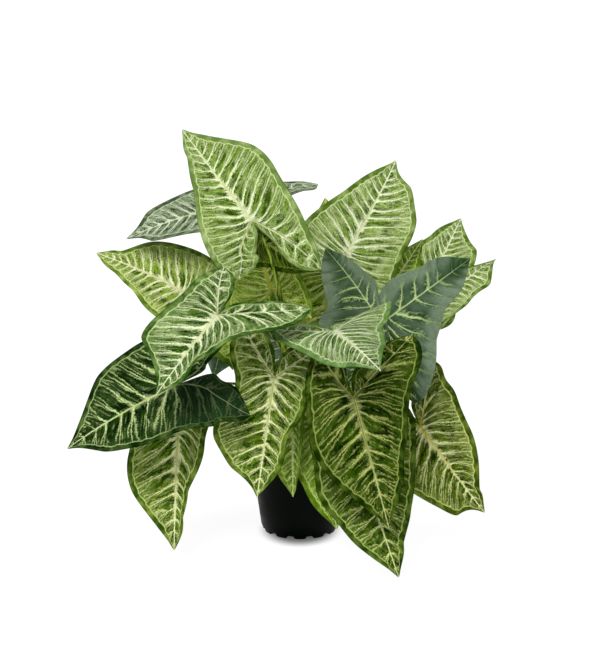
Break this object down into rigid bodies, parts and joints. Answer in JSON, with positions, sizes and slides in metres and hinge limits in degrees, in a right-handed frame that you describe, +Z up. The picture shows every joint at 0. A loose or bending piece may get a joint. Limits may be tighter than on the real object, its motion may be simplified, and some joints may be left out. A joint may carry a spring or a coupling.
{
  "type": "potted syngonium",
  "caption": "Potted arrowhead plant: cream-veined arrowhead leaves on slender green petioles, rising from soil in a plain black nursery pot.",
  "frame": {"origin": "centre of the pot's underside, in the plane that the pot rests on", "axes": "+Z up along the pot's axis; -Y towards the show side of the plant; +X to the viewer's right"},
  "size_m": [0.429, 0.3706, 0.4078],
  "materials": {
    "pot_black": "satin",
    "soil_brown": "matte",
    "petiole_green": "satin",
    "leaf_cream": "satin",
    "leaf_green": "satin",
    "leaf_deep": "satin",
    "leaf_young": "satin"
  },
  "bodies": {
    "root": {"pot": "pot_black", "soil": "soil_brown", "stem_front": "petiole_green", "stem_left": "petiole_green", "stem_right": "petiole_green", "stem_mid": "petiole_green", "stem_back": "petiole_green", "leaf_top": "leaf_cream", "leaf_under_top": "leaf_deep", "leaf_far_left": "leaf_cream", "leaf_left": "leaf_cream", "leaf_front_left": "leaf_cream", "leaf_low_left": "leaf_deep", "leaf_inner_left": "leaf_young", "leaf_top_right": "leaf_cream", "leaf_turned_mid": "leaf_cream", "leaf_turned_right": "leaf_cream", "leaf_front_mid": "leaf_cream", "leaf_front_right": "leaf_green", "leaf_lowest": "leaf_green", "leaf_low_mid": "leaf_green", "leaf_folded": "leaf_green", "leaf_mid_left": "leaf_green", "leaf_hanging_left": "leaf_green", "leaf_low_right": "leaf_green", "leaf_upper_right": "leaf_cream", "leaf_far_right": "leaf_cream", "leaf_inner_mid": "leaf_young", "leaf_peeking": "leaf_young", "leaf_slender": "leaf_young", "leaf_back_low": "leaf_green", "leaf_back_left": "leaf_green", "leaf_back_mid": "leaf_green", "leaf_back_right": "leaf_green"}
  },
  "joints": []
}
